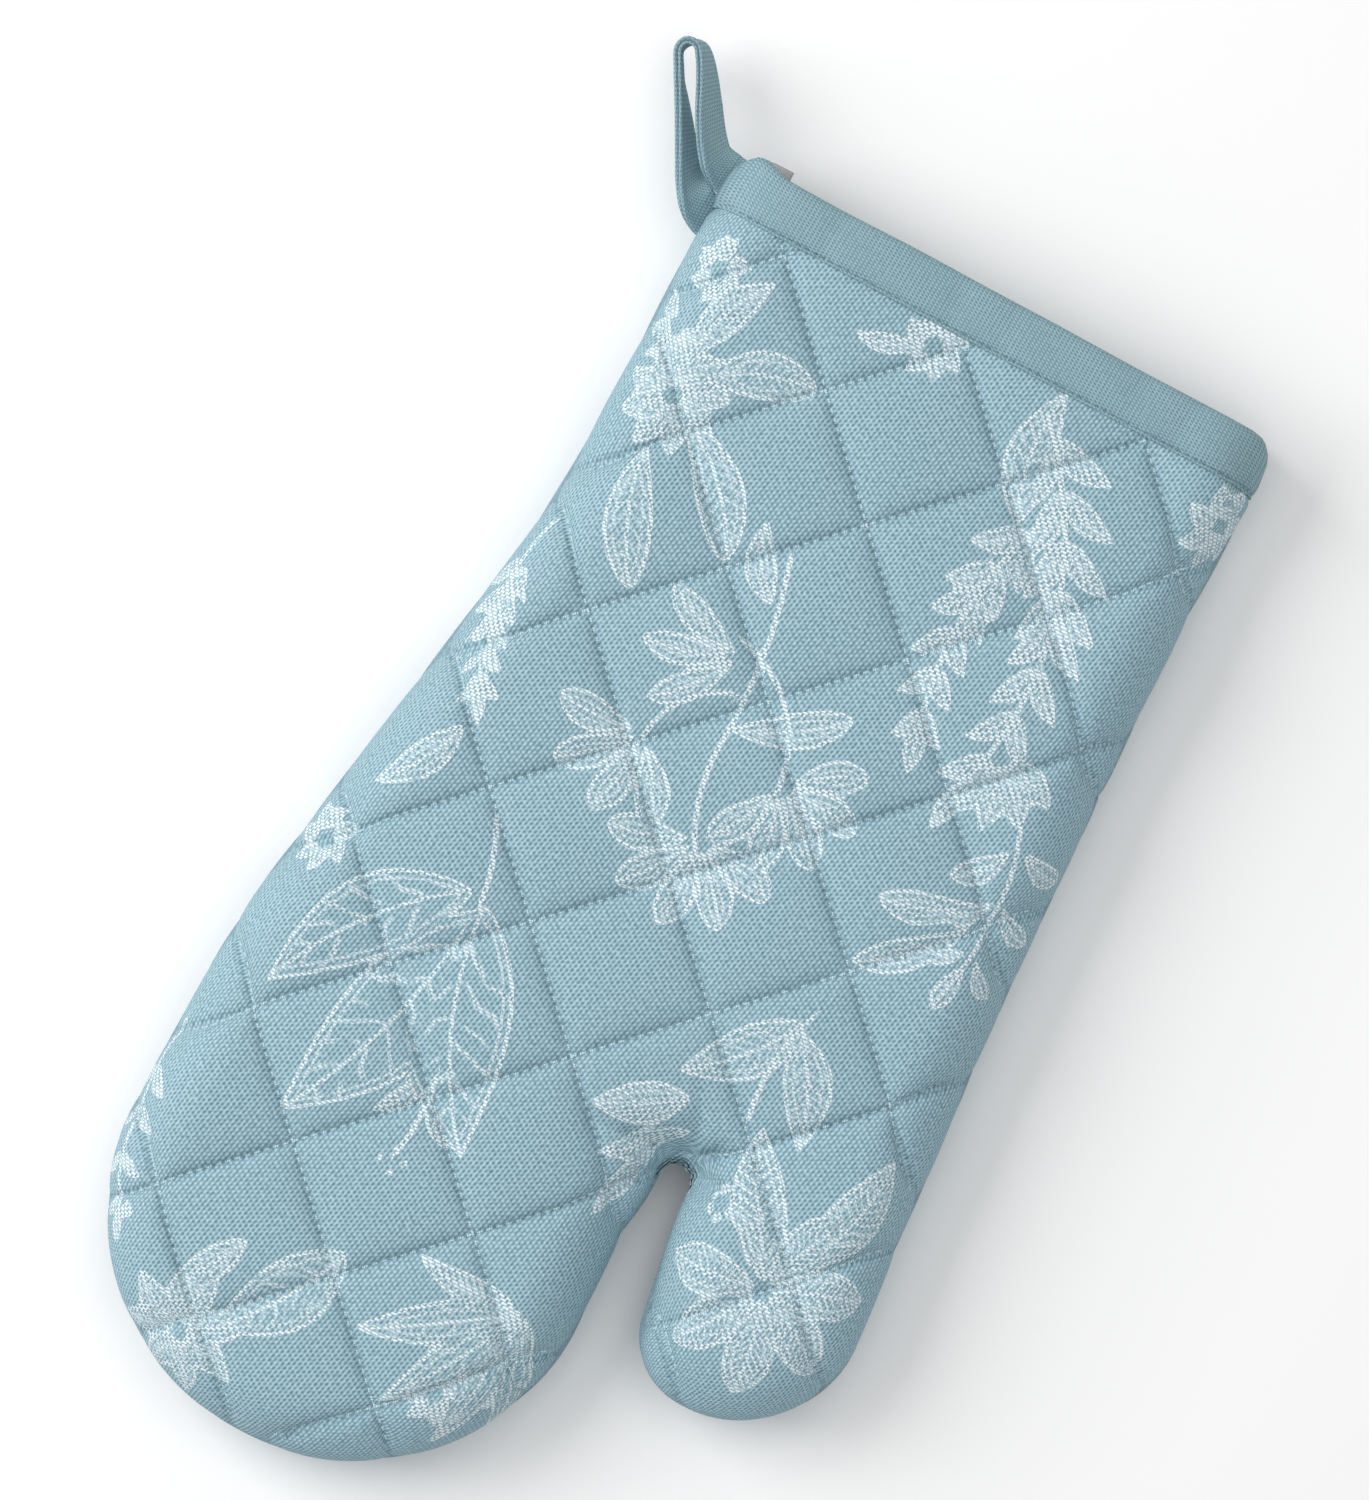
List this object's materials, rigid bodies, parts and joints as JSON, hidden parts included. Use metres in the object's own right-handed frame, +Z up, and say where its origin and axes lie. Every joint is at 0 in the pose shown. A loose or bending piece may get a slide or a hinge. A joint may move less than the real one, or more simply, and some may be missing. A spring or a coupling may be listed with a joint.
{
  "type": "oven mitt",
  "caption": "Quilted jacquard oven mitt with a separate thumb, bound cuff, hanging loop and care label, lying flat.",
  "frame": {"origin": "bottom centre of the whole mitt's bounding box, on the surface it lies on", "axes": "+Y from the cuff to the fingertips, +Z up through the padded thickness, the thumb on -X and the hanging loop at the +X corner of the cuff"},
  "size_m": [0.182, 0.3386, 0.034],
  "materials": {
    "jacquard_cloth": "matt twill with white figured floats",
    "batting": "fibre wadding",
    "lining_cloth": "plain weave",
    "bias_tape": "fine twill",
    "thread": "spun sewing thread",
    "label_tape": "satin ribbon"
  },
  "bodies": {
    "mitt": {"front_outer_panel": "jacquard_cloth", "front_batting": "batting", "front_lining": "lining_cloth", "back_outer_panel": "jacquard_cloth", "back_batting": "batting", "back_lining": "lining_cloth", "cuff_binding": "bias_tape", "front_quilting_thread": "thread", "back_quilting_thread": "thread", "side_seam_thread": "thread", "binding_topstitch": "thread", "label_stitching": "thread"},
    "loop": {"hanging_loop": "bias_tape"},
    "label": {"care_label": "label_tape"}
  },
  "joints": [
    {"name": "loop_flop", "type": "hinge", "parent": "mitt", "child": "loop", "pos_m": [0.06738, -0.13845, 0.017], "axis": [0, 1, 0], "range_deg": [-50, 50], "stiffness_Nm_per_rad": 0.002},
    {"name": "label_flip", "type": "hinge", "parent": "mitt", "child": "label", "pos_m": [0.05658, -0.14265, 0.017], "axis": [0, 1, 0], "range_deg": [-75, 75], "stiffness_Nm_per_rad": 0.00005}
  ]
}
